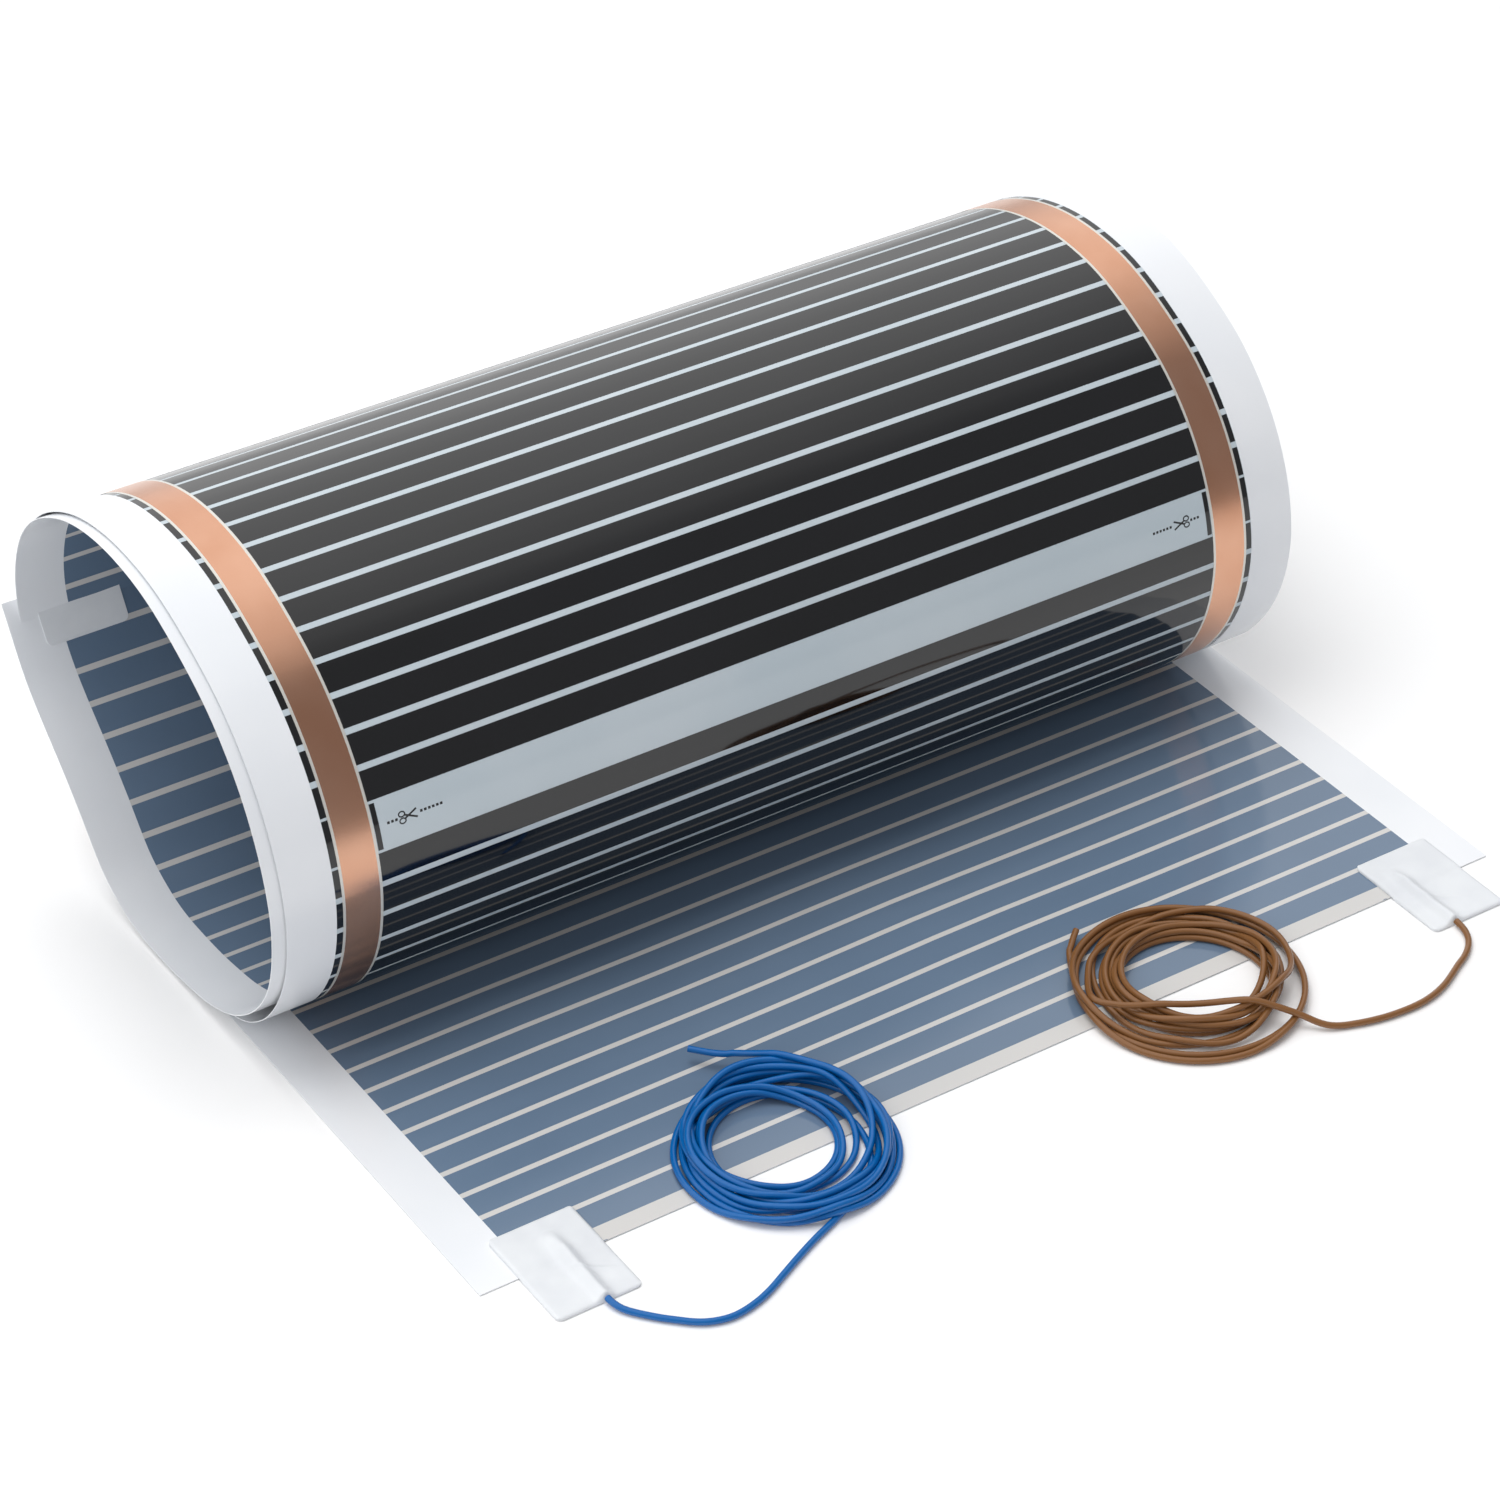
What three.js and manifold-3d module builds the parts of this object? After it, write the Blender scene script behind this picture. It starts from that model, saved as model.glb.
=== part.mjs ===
// Electric underfloor heater: a loose roll of carbon heating film.
// Millimetres. X runs along the film's width, +Y away from the front edge, +Z up.
import * as THREE from 'three';
import Module from 'manifold-3d';

const wasm = await Module();
wasm.setup();
const { Manifold, Mesh: SolidMesh } = wasm;

// Film laminate
const FILM_WIDTH = 500;
const FILM_THICK = 0.34;
const INTERVAL_COUNT = 7;
const STRIPES_PER_INTERVAL = 15;
const PITCH = 15;
const STRIPE_GAP = 2.6;
const BAND = 22;
const END_EXTRA_STRIPES = 2;
const CUT_TRIM = 2.3;
const STRIPE = PITCH - STRIPE_GAP;
const INTERVAL = STRIPES_PER_INTERVAL * PITCH - STRIPE_GAP + BAND;
const FILM_LENGTH = INTERVAL_COUNT * INTERVAL + END_EXTRA_STRIPES * PITCH - 2 * CUT_TRIM;

// Print and metal across the width, measured from one edge
const MARGIN = 22.3;
const BAR_START = 26.3;
const BAR_WIDTH = 15.6;
const RECESS_SIDE = 0.15;

// Heights through the laminate, from its middle plane towards the inner face
const FACE = FILM_THICK / 2;
const RECESS_FLOOR = -0.03;
const CARBON_TOP = -0.04;
const CARBON_THICK = 0.05;
const RAIL_INSET = 0.012;
const BAR_TOP = -0.1;
const BAR_THICK = 0.05;

// Roll: its size seen from the side, and its outer outline as [y, z] from the middle of
// its foot, in shares of the depth and the height
const ROLL_FOOT_Y = 250;
const ROLL_DEPTH = 229;
const ROLL_HEIGHT = 193.3;
const ROLL_OUTLINE = [
  [0, 0], [0.1223, 0.0021], [0.2358, 0.0388], [0.3362, 0.1345], [0.4279, 0.269],
  [0.4934, 0.4139], [0.5218, 0.5484], [0.5109, 0.6622], [0.4716, 0.7708],
  [0.4105, 0.8562], [0.3275, 0.9234], [0.2314, 0.9726], [0.1266, 0.9984], [0.0262, 1],
  [-0.0742, 0.9803], [-0.1878, 0.926], [-0.3013, 0.8432], [-0.393, 0.7268],
  [-0.452, 0.5949], [-0.4782, 0.4708], [-0.4782, 0.388], [-0.4672, 0.313],
  [-0.4454, 0.2406], [-0.4105, 0.1681], [-0.3624, 0.1009], [-0.2969, 0.044],
  [-0.214, 0.0103], [-0.1135, 0.0005],
];
const TURN_STEP = 1.3;
const TURN_COUNT = 2;
const OUTLINE_SAMPLES = 720;
const SLOPE_REACH = 2;
const INNER_BACK_SLACK = 8;
const INNER_BACK_SPAN = 0.3;
const INNER_FRONT_SLACK = 4;
const INNER_FRONT_SPAN = 0.2;
const TAIL_LEAN = 14;
const TAIL_LEAN_END = 1.6;
const TAIL_SPAN = 0.27;
const TAIL_SPARE = 0.08;
const DRIFT_START = 3 * INTERVAL;
const DRIFT_END = -9;

// Front pads, clips and end pads
const PAD_WIDTH = 38;
const PAD_BACK = 24;
const PAD_FRONT = -29;
const PAD_CORNER = 3;
const PAD_TOP = 1.4;
const PAD_LEFT_SHIFT = -2.5;
const PAD_RIGHT_SHIFT = 8.4;
const PAD_FLOOR_GAP = 0.04;
const PAD_FILM_GAP = 0.05;
const RIDGE_WIDTH = 10;
const RIDGE_TOP_WIDTH = 4.5;
const RIDGE_TOP = 4.3;
const RIDGE_BACK = 15;
const END_PAD_STATIONS = 3;
const END_PAD_THICK = 0.45;
const END_PAD_GAP = 0.05;
const END_PAD_EDGE = 14;
const END_PAD_WIDTH = 38;

// Lead wires
const WIRE_DIAMETER = 2.8;
const WIRE_SIDES = 8;
const ROUND_SIDES = 16;
const WIRE_HOLE_DIAMETER = 3.2;
const WIRE_AXIS_Z = 2.1;
const WIRE_GAP = 0.3;
const CRIMP_DIAMETER = 2.6;
const CRIMP_LENGTH = 8;
const CRIMP_FRONT = -9.5;
const JAW_WIDTH = 8;
const JAW_LENGTH = 10;
const JAW_THICK = 0.5;
const CLIP_CLEARANCE = 0.15;
const CUT_OVERRUN = 1;
const NECK_WIDTH = 2;
const NECK_OVERLAP = 2;
const NECK_BACK = 1;

// Where the clips grip the copper strips, measured from each strip's outer edge
const CLIP_LEFT_OFFSET = 12.2;
const CLIP_RIGHT_OFFSET = 16.1;
const CLIP_LEFT_X = BAR_START + CLIP_LEFT_OFFSET;
const CLIP_RIGHT_X = FILM_WIDTH - BAR_START - CLIP_RIGHT_OFFSET;

// Coils of spare lead lying on the sheet: centre x, y, radii and height.
// The brown coil and the brown lead's points have their x from the film's right edge.
const COIL_HEIGHT = 12;
const COIL_CHAMFER = 3;
const COIL_FOOT = FILM_THICK + WIRE_GAP;
const COIL_SIDES = 36;
const BLUE_COIL = { x: 141, y: 9, inner: 21, outer: 48 };
const BROWN_COIL = { x: -159, y: 2, inner: 21, outer: 49 };

const BLUE_ROUTE = [
  [38.5, -29.4, 2.1], [38.9, -33, 1.9], [40.6, -37.5, 1.7], [44.7, -43, 1.55],
  [49.8, -48.9, 1.55], [55, -54, 1.55], [59.2, -57.8, 1.55], [64, -60.8, 1.55],
  [70, -62.8, 1.55], [76, -63.2, 1.55], [84, -61.8, 1.55], [92.4, -58.9, 1.55],
  [102.5, -54, 1.55], [112.8, -49, 1.55], [123.5, -44.2, 2], [133.8, -40.2, 3],
];
const BLUE_TAIL = [
  [155.5, 56.8, 8.6], [151.5, 60.5, 8.2], [147, 65, 8], [143.5, 69, 7.6],
  [140.4, 72.6, 7.2],
];
const BROWN_ROUTE = [
  [-42.4, -29.4, 2.1], [-42.7, -33, 1.9], [-43.6, -37, 1.7], [-46, -41.5, 1.55],
  [-50, -45.6, 1.55], [-55, -49, 1.55], [-60.7, -51.8, 1.55], [-67, -55.2, 1.55],
  [-73.9, -58.6, 1.55], [-82, -61.2, 1.55], [-90.2, -62.4, 1.55], [-100, -62.2, 1.55],
  [-110.2, -60.8, 1.55], [-121, -57.8, 1.7], [-131.3, -53.2, 3.2], [-139.2, -45.2, 6],
];
const BROWN_TAIL = [
  [-192.5, 40.2, 3.5], [-189, 43.8, 4], [-185.5, 47, 4.6], [-182, 49.8, 5.2],
];

function smoothStep(t) {
  const u = THREE.MathUtils.clamp(t, 0, 1);
  return u * u * (3 - 2 * u);
}

// Rises from 0 to 1 and falls back between t = 0 and t = 1
function hump(t) {
  return Math.sin(Math.PI * THREE.MathUtils.clamp(t, 0, 1)) ** 2;
}

// The whole sheet as one line seen from the side: flat, two turns, leaning free end
function traceSheet() {
  const corners = ROLL_OUTLINE.map(([y, z]) => (
    new THREE.Vector3(0, ROLL_FOOT_Y + y * ROLL_DEPTH, z * ROLL_HEIGHT)));
  const outline = new THREE.CatmullRomCurve3(corners, true, 'centripetal');
  const ring = outline.getSpacedPoints(OUTLINE_SAMPLES).slice(0, OUTLINE_SAMPLES);
  const inward = ring.map((point, i) => {
    const before = ring[(i + OUTLINE_SAMPLES - 1) % OUTLINE_SAMPLES];
    const after = ring[(i + 1) % OUTLINE_SAMPLES];
    const along = after.clone().sub(before).normalize();
    return new THREE.Vector3(0, -along.z, along.y);
  });
  const line = [new THREE.Vector3(0, 0, FACE)];
  const steps = Math.round(OUTLINE_SAMPLES * (TURN_COUNT + TAIL_SPAN + TAIL_SPARE));
  for (let k = 0; k <= steps; k += 1) {
    const i = k % OUTLINE_SAMPLES;
    const turns = k / OUTLINE_SAMPLES;
    const tail = (turns - TURN_COUNT) / TAIL_SPAN;
    let inset = FACE + TURN_STEP * turns;
    if (tail > 0) {
      inset += TAIL_LEAN * hump(tail) + TAIL_LEAN_END * smoothStep(tail);
    } else if (turns > TURN_COUNT - 1) {
      const part = turns - (TURN_COUNT - 1);
      inset += INNER_BACK_SLACK * hump(part / INNER_BACK_SPAN);
      inset += INNER_FRONT_SLACK * hump((part - 1 + INNER_FRONT_SPAN) / INNER_FRONT_SPAN);
    }
    const point = ring[i].clone().addScaledVector(inward[i], inset);
    point.z = Math.max(point.z, FACE);
    line.push(point);
  }
  return line;
}

const sheetLine = traceSheet();
const lineLengths = [0];
for (let i = 1; i < sheetLine.length; i += 1) {
  lineLengths.push(lineLengths[i - 1] + sheetLine[i].distanceTo(sheetLine[i - 1]));
}

// Place a point: x across the width, s along the film, h towards its inner face
function placeOnSheet(x, s, h) {
  let i = lineLengths.findIndex((length) => length > s);
  i = i < 0 ? lineLengths.length - 1 : Math.max(i, 1);
  const reach = lineLengths[i] - lineLengths[i - 1];
  const share = (s - lineLengths[i - 1]) / reach;
  const point = sheetLine[i - 1].clone().lerp(sheetLine[i], share);
  const before = sheetLine[Math.max(i - 1 - SLOPE_REACH, 0)];
  const after = sheetLine[Math.min(i + SLOPE_REACH, sheetLine.length - 1)];
  const along = after.clone().sub(before).normalize();
  const drift = DRIFT_END * Math.max(0, (s - DRIFT_START) / (FILM_LENGTH - DRIFT_START));
  return new THREE.Vector3(x + drift, point.y - along.z * h, point.z + along.y * h);
}

// Stations along the film: its ends, every cut line and both edges of every stripe.
// The film is cut a little to one side of a cut line, at both ends.
const stripeStarts = [];
const stations = [0];
for (let k = 0; k < INTERVAL_COUNT; k += 1) {
  const last = k === INTERVAL_COUNT - 1;
  const count = STRIPES_PER_INTERVAL + (last ? END_EXTRA_STRIPES : 0);
  for (let j = 0; j < count; j += 1) {
    const start = k * INTERVAL + BAND / 2 + j * PITCH - CUT_TRIM;
    stripeStarts.push(start);
    stations.push(start, start + STRIPE);
  }
  stations.push(last ? FILM_LENGTH : (k + 1) * INTERVAL - CUT_TRIM);
}

// Extrude a cross-section [x, h] along the sheet, one step per mark
function ribbon(section, marks = stations) {
  const shape = new THREE.Shape(section.map(([x, h]) => new THREE.Vector2(h, x)));
  const steps = marks.length - 1;
  const geometry = new THREE.ExtrudeGeometry(shape, {
    depth: steps, steps, bevelEnabled: false,
  });
  const place = geometry.attributes.position;
  for (let i = 0; i < place.count; i += 1) {
    const mark = marks[Math.round(place.getZ(i))];
    const point = placeOnSheet(place.getY(i), mark, place.getX(i));
    place.setXYZ(i, point.x, point.y, point.z);
  }
  return geometry;
}

// A stripe: a flat block carried onto the sheet between two stations
function stripeBlock(start) {
  const width = FILM_WIDTH - 2 * MARGIN;
  const geometry = new THREE.BoxGeometry(width, STRIPE, CARBON_THICK);
  const place = geometry.attributes.position;
  for (let i = 0; i < place.count; i += 1) {
    const x = FILM_WIDTH / 2 + place.getX(i);
    const h = CARBON_TOP - CARBON_THICK / 2 + place.getZ(i);
    const point = placeOnSheet(x, start + STRIPE / 2 + place.getY(i), h);
    place.setXYZ(i, point.x, point.y, point.z);
  }
  return geometry;
}

function rectangle(x0, x1, h0, h1) {
  return [[x0, h0], [x1, h0], [x1, h1], [x0, h1]];
}

function toSolid(geometry) {
  const flat = geometry.index ? geometry.toNonIndexed() : geometry;
  const source = flat.attributes.position;
  const seen = new Map();
  const points = [];
  const triangles = [];
  for (let i = 0; i < source.count; i += 1) {
    const xyz = [source.getX(i), source.getY(i), source.getZ(i)];
    const key = xyz.map((value) => value.toFixed(4)).join(' ');
    if (!seen.has(key)) {
      seen.set(key, points.length / 3);
      points.push(...xyz);
    }
    triangles.push(seen.get(key));
  }
  const kept = [];
  for (let i = 0; i < triangles.length; i += 3) {
    const [a, b, c] = triangles.slice(i, i + 3);
    if (a !== b && b !== c && c !== a) {
      kept.push(a, b, c);
    }
  }
  const mesh = new SolidMesh({
    numProp: 3,
    vertProperties: new Float32Array(points),
    triVerts: new Uint32Array(kept),
  });
  mesh.merge();
  let solid = new Manifold(mesh);
  if (solid.volume() < 0) {
    for (let i = 0; i < kept.length; i += 3) {
      [kept[i], kept[i + 1]] = [kept[i + 1], kept[i]];
    }
    solid = new Manifold(new SolidMesh({
      numProp: 3,
      vertProperties: new Float32Array(points),
      triVerts: new Uint32Array(kept),
    }));
  }
  return solid;
}

function toGeometry(solid) {
  const mesh = solid.getMesh();
  const geometry = new THREE.BufferGeometry();
  const points = new Float32Array((mesh.vertProperties.length / mesh.numProp) * 3);
  for (let i = 0; i < points.length / 3; i += 1) {
    points.set(mesh.vertProperties.subarray(i * mesh.numProp, i * mesh.numProp + 3), i * 3);
  }
  geometry.setAttribute('position', new THREE.BufferAttribute(points, 3));
  geometry.setIndex(new THREE.BufferAttribute(new Uint32Array(mesh.triVerts), 1));
  return geometry.toNonIndexed();
}

function block(x0, x1, y0, y1, z0, z1) {
  const geometry = new THREE.BoxGeometry(x1 - x0, y1 - y0, z1 - z0);
  return geometry.translate((x0 + x1) / 2, (y0 + y1) / 2, (z0 + z1) / 2);
}

// A round bar along Y
function rod(diameter, x, y0, y1, z, sides) {
  const geometry = new THREE.CylinderGeometry(diameter / 2, diameter / 2, y1 - y0, sides);
  return geometry.translate(x, (y0 + y1) / 2, z);
}

// Film: one laminate with a shallow recess for the print in its outer face
function filmGeometry() {
  const inset = MARGIN - RECESS_SIDE;
  return ribbon([
    [0, -FACE], [inset, -FACE], [inset, RECESS_FLOOR],
    [FILM_WIDTH - inset, RECESS_FLOOR], [FILM_WIDTH - inset, -FACE],
    [FILM_WIDTH, -FACE], [FILM_WIDTH, FACE], [0, FACE],
  ]);
}

// Carbon: every stripe joined by a rail of the same print under each copper strip
function carbonGeometry() {
  const low = CARBON_TOP - CARBON_THICK + RAIL_INSET;
  const high = CARBON_TOP - RAIL_INSET;
  const far = FILM_WIDTH - BAR_START;
  const rails = [
    ribbon(rectangle(BAR_START, BAR_START + BAR_WIDTH, low, high)),
    ribbon(rectangle(far - BAR_WIDTH, far, low, high)),
  ];
  const pieces = [...rails, ...stripeStarts.map(stripeBlock)].map(toSolid);
  return toGeometry(Manifold.union(pieces));
}

function busbarGeometry(x0) {
  return ribbon(rectangle(x0, x0 + BAR_WIDTH, BAR_TOP - BAR_THICK, BAR_TOP));
}

// Front pad: a flat patch with a ridge over the clip and the wire
function frontPadGeometry(wireX, shift) {
  const padX = wireX + shift;
  const outline = new THREE.Shape();
  const left = padX - PAD_WIDTH / 2;
  const right = padX + PAD_WIDTH / 2;
  outline.moveTo(left + PAD_CORNER, PAD_FRONT);
  outline.lineTo(right - PAD_CORNER, PAD_FRONT);
  outline.absarc(right - PAD_CORNER, PAD_FRONT + PAD_CORNER, PAD_CORNER, -Math.PI / 2, 0);
  outline.lineTo(right, PAD_BACK - PAD_CORNER);
  outline.absarc(right - PAD_CORNER, PAD_BACK - PAD_CORNER, PAD_CORNER, 0, Math.PI / 2);
  outline.lineTo(left + PAD_CORNER, PAD_BACK);
  outline.absarc(left + PAD_CORNER, PAD_BACK - PAD_CORNER, PAD_CORNER, Math.PI / 2, Math.PI);
  outline.lineTo(left, PAD_FRONT + PAD_CORNER);
  outline.absarc(left + PAD_CORNER, PAD_FRONT + PAD_CORNER, PAD_CORNER, Math.PI, Math.PI * 1.5);
  const patch = new THREE.ExtrudeGeometry(outline, {
    depth: PAD_TOP - PAD_FLOOR_GAP, bevelEnabled: false, curveSegments: 4,
  });
  patch.translate(0, 0, PAD_FLOOR_GAP);

  const ridgeShape = new THREE.Shape([
    new THREE.Vector2(-RIDGE_WIDTH / 2, PAD_TOP / 2),
    new THREE.Vector2(RIDGE_WIDTH / 2, PAD_TOP / 2),
    new THREE.Vector2(RIDGE_TOP_WIDTH / 2, RIDGE_TOP),
    new THREE.Vector2(-RIDGE_TOP_WIDTH / 2, RIDGE_TOP),
  ]);
  const ridge = new THREE.ExtrudeGeometry(ridgeShape, {
    depth: RIDGE_BACK - PAD_FRONT, bevelEnabled: false,
  });
  ridge.rotateX(Math.PI / 2);
  ridge.translate(wireX, RIDGE_BACK, 0);

  const filmRoom = block(left - CUT_OVERRUN, right + CUT_OVERRUN, -PAD_FILM_GAP,
    PAD_BACK + CUT_OVERRUN, -CUT_OVERRUN, FILM_THICK + PAD_FILM_GAP);
  const wireHole = rod(WIRE_HOLE_DIAMETER, wireX, PAD_FRONT - CUT_OVERRUN, CRIMP_FRONT,
    WIRE_AXIS_Z, ROUND_SIDES);
  const room = [filmRoom, wireHole, ...clipBlocks(wireX, CLIP_CLEARANCE)].map(toSolid);
  const body = Manifold.union([patch, ridge].map(toSolid));
  return toGeometry(body.subtract(Manifold.union(room)));
}

// Clip: a jaw on the copper strip's end, a neck and a crimp barrel for the wire
function clipBlocks(wireX, grow) {
  const jawFoot = FILM_THICK + PAD_FILM_GAP + CLIP_CLEARANCE - grow;
  const half = JAW_WIDTH / 2 + grow;
  const barrelBack = CRIMP_FRONT + CRIMP_LENGTH + grow;
  return [
    block(wireX - half, wireX + half, -JAW_THICK - grow, JAW_LENGTH + grow,
      jawFoot, FILM_THICK + PAD_FILM_GAP + CLIP_CLEARANCE + JAW_THICK + grow),
    block(wireX - NECK_WIDTH / 2 - grow, wireX + NECK_WIDTH / 2 + grow,
      barrelBack - NECK_OVERLAP - 2 * grow, NECK_BACK + grow,
      jawFoot, WIRE_AXIS_Z + NECK_WIDTH / 2 + grow),
    rod(CRIMP_DIAMETER + 2 * grow, wireX, CRIMP_FRONT - grow, barrelBack, WIRE_AXIS_Z,
      ROUND_SIDES),
  ];
}

function clipGeometry(wireX) {
  return toGeometry(Manifold.union(clipBlocks(wireX, 0).map(toSolid)));
}

// End pad: a patch folded over the film's free end, covering the last stripe on both faces
function endPadGeometry(left) {
  const right = left + END_PAD_WIDTH;
  const room = FACE + END_PAD_GAP;
  const skin = room + END_PAD_THICK;
  const fold = FILM_LENGTH + END_PAD_GAP;
  const marks = stations.slice(-1 - END_PAD_STATIONS, -1);
  const whole = ribbon(rectangle(left, right, -skin, skin), [...marks, fold + END_PAD_THICK]);
  const inside = ribbon(
    rectangle(left - CUT_OVERRUN, right + CUT_OVERRUN, -room, room),
    [marks[0] - CUT_OVERRUN, ...marks, fold],
  );
  return toGeometry(toSolid(whole).subtract(toSolid(inside)));
}

// Lead: a tube through a row of points
function tubeGeometry(points, edge, steps) {
  const spots = points.map(([x, y, z]) => new THREE.Vector3(edge + x, y, z));
  const path = new THREE.CatmullRomCurve3(spots);
  const section = new THREE.Shape();
  section.absarc(0, 0, WIRE_DIAMETER / 2, 0, Math.PI * 2);
  return new THREE.ExtrudeGeometry(section, {
    extrudePath: path, steps, curveSegments: WIRE_SIDES / 2, bevelEnabled: false,
  });
}

// Coil of spare lead as one plain ring
function coilGeometry({ x, y, inner, outer }, edge) {
  const chamfer = COIL_CHAMFER;
  const high = COIL_FOOT + COIL_HEIGHT;
  const profile = [
    [inner + chamfer, COIL_FOOT], [outer - chamfer, COIL_FOOT], [outer, COIL_FOOT + chamfer],
    [outer, high - chamfer], [outer - chamfer, high], [inner + chamfer, high],
    [inner, high - chamfer], [inner, COIL_FOOT + chamfer], [inner + chamfer, COIL_FOOT],
  ].map(([r, z]) => new THREE.Vector2(r, z));
  const geometry = new THREE.LatheGeometry(profile, COIL_SIDES);
  geometry.rotateX(Math.PI / 2);
  return geometry.translate(edge + x, y, 0);
}

const group = new THREE.Group();
group.name = 'underfloor_heating_film_roll';

function addPiece(name, geometry, color, roughness, metalness = 0) {
  const material = new THREE.MeshStandardMaterial({ color, roughness, metalness });
  const mesh = new THREE.Mesh(geometry, material);
  mesh.name = name;
  group.add(mesh);
}

addPiece('film', filmGeometry(), 0xdde1e4, 0.35);
addPiece('carbon_layer', carbonGeometry(), 0x23262a, 0.4);
addPiece('busbar_left', busbarGeometry(BAR_START), 0xb87756, 0.35, 1);
addPiece('busbar_right', busbarGeometry(FILM_WIDTH - BAR_START - BAR_WIDTH), 0xb87756, 0.35, 1);
addPiece('front_pad_left', frontPadGeometry(CLIP_LEFT_X, PAD_LEFT_SHIFT), 0xe8eaec, 0.5);
addPiece('front_pad_right', frontPadGeometry(CLIP_RIGHT_X, PAD_RIGHT_SHIFT), 0xe8eaec, 0.5);
addPiece('clip_left', clipGeometry(CLIP_LEFT_X), 0xb9bdc2, 0.35, 1);
addPiece('clip_right', clipGeometry(CLIP_RIGHT_X), 0xb9bdc2, 0.35, 1);
addPiece('end_pad_left', endPadGeometry(END_PAD_EDGE), 0xe8eaec, 0.5);
addPiece('end_pad_right', endPadGeometry(FILM_WIDTH - END_PAD_EDGE - END_PAD_WIDTH),
  0xe8eaec, 0.5);
addPiece('blue_lead', tubeGeometry(BLUE_ROUTE, 0, 24), 0x0d6fd0, 0.35);
addPiece('blue_coil', coilGeometry(BLUE_COIL, 0), 0x0d6fd0, 0.35);
addPiece('blue_tail', tubeGeometry(BLUE_TAIL, 0, 6), 0x0d6fd0, 0.35);
addPiece('brown_lead', tubeGeometry(BROWN_ROUTE, FILM_WIDTH, 24), 0x7a4319, 0.35);
addPiece('brown_coil', coilGeometry(BROWN_COIL, FILM_WIDTH), 0x7a4319, 0.35);
addPiece('brown_tail', tubeGeometry(BROWN_TAIL, FILM_WIDTH, 6), 0x7a4319, 0.35);

// Origin: on the floor, under the middle of everything but the lead wires
const wires = ['blue_lead', 'blue_coil', 'blue_tail', 'brown_lead', 'brown_coil', 'brown_tail'];
const extent = new THREE.Box3();
group.children.filter((mesh) => !wires.includes(mesh.name))
  .forEach((mesh) => extent.expandByObject(mesh));
const middle = extent.getCenter(new THREE.Vector3());
group.children.forEach((mesh) => mesh.geometry.translate(-middle.x, -middle.y, -extent.min.z));

export default group;
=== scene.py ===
# %% [markdown]
# # Loose roll of carbon underfloor heating film
# The film is one long laminate: a milky polyester ply, printed carbon stripes, two copper
# strips down the sides and a clear glossy ply. It lies flat at the front, goes twice round
# the roll and ends leaning on the roll's back wall. Two lead wires come out of white pads.
# Every size is in millimetres from the film's front left corner, and is turned into metres
# in the part's frame only when a mesh is made.

# %% Load the frame and fix the origin
import math
import bpy
import numpy as np
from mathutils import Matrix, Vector


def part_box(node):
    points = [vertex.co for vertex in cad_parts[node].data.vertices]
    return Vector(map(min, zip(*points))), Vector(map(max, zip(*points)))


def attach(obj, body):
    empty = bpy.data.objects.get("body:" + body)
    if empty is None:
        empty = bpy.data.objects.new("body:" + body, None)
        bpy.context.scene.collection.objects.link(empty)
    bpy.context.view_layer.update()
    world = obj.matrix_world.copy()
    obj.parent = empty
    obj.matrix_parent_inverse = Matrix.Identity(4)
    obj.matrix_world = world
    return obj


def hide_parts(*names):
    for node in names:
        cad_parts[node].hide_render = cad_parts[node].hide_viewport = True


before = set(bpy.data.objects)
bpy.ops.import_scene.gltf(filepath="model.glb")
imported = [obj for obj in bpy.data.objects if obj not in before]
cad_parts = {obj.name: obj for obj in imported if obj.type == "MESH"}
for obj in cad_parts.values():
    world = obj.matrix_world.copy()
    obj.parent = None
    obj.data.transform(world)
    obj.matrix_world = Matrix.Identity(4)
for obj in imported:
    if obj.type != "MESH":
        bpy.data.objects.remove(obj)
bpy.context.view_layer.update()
DRIFT_END = -9.0
film_low = np.array(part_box("film")[0]) * 1000
ORIGIN = np.array([film_low[0] - DRIFT_END, film_low[1], 0.0])
print("film corner in the part's frame, mm:", ORIGIN.round(2))

# %% [markdown]
# ## Camera
# A long lens from the front left, looking down at about 36 degrees. The direction, distance
# and lens come from lining up the stripes and the copper strips with the photograph.

# %% Camera
AZIMUTH, ELEVATION = math.radians(-33.443), math.radians(35.683)
LOOK_AT = np.array([279.94, 238.75, 0.0])
DISTANCE, FOCAL_PIXELS, FRAME_PIXELS = 1954.25, 4415.2, 1500
back = np.array([math.sin(AZIMUTH) * math.cos(ELEVATION),
                 -math.cos(AZIMUTH) * math.cos(ELEVATION), math.sin(ELEVATION)])
camera = bpy.data.objects.new("camera", bpy.data.cameras.new("camera"))
bpy.context.scene.collection.objects.link(camera)
camera.location = (LOOK_AT + ORIGIN + back * DISTANCE) / 1000
camera.rotation_euler = (math.pi / 2 - ELEVATION, 0, AZIMUTH)
camera.data.sensor_width = 36
camera.data.lens = 36 * FOCAL_PIXELS / FRAME_PIXELS
camera.data.clip_start, camera.data.clip_end = 0.05, 50
bpy.context.scene.camera = camera
print("lens, mm:", round(camera.data.lens, 1))

# %% [markdown]
# ## The film's path
# Seen from the side the film is one line: flat, then two turns of the outline, each a
# little inside the last, then the free end leaning inwards. `place` puts a point on it from
# its place across the width, its length along the film and its height in the laminate.

# %% Sizes of the laminate and its print
WIDTH, THICK = 500.0, 0.34
FACE = THICK / 2
PITCH, GAP, BAND, PER_INTERVAL, INTERVALS, EXTRA, TRIM = 15.0, 2.6, 22.0, 15, 7, 2, 2.3
STRIPE = PITCH - GAP
INTERVAL = PER_INTERVAL * PITCH - GAP + BAND
LENGTH = INTERVALS * INTERVAL + EXTRA * PITCH - 2 * TRIM
MARGIN, BAR_START, BAR_WIDTH, LINE_WIDTH = 22.3, 26.3, 15.6, 1.2
RECESS = -0.03

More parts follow.
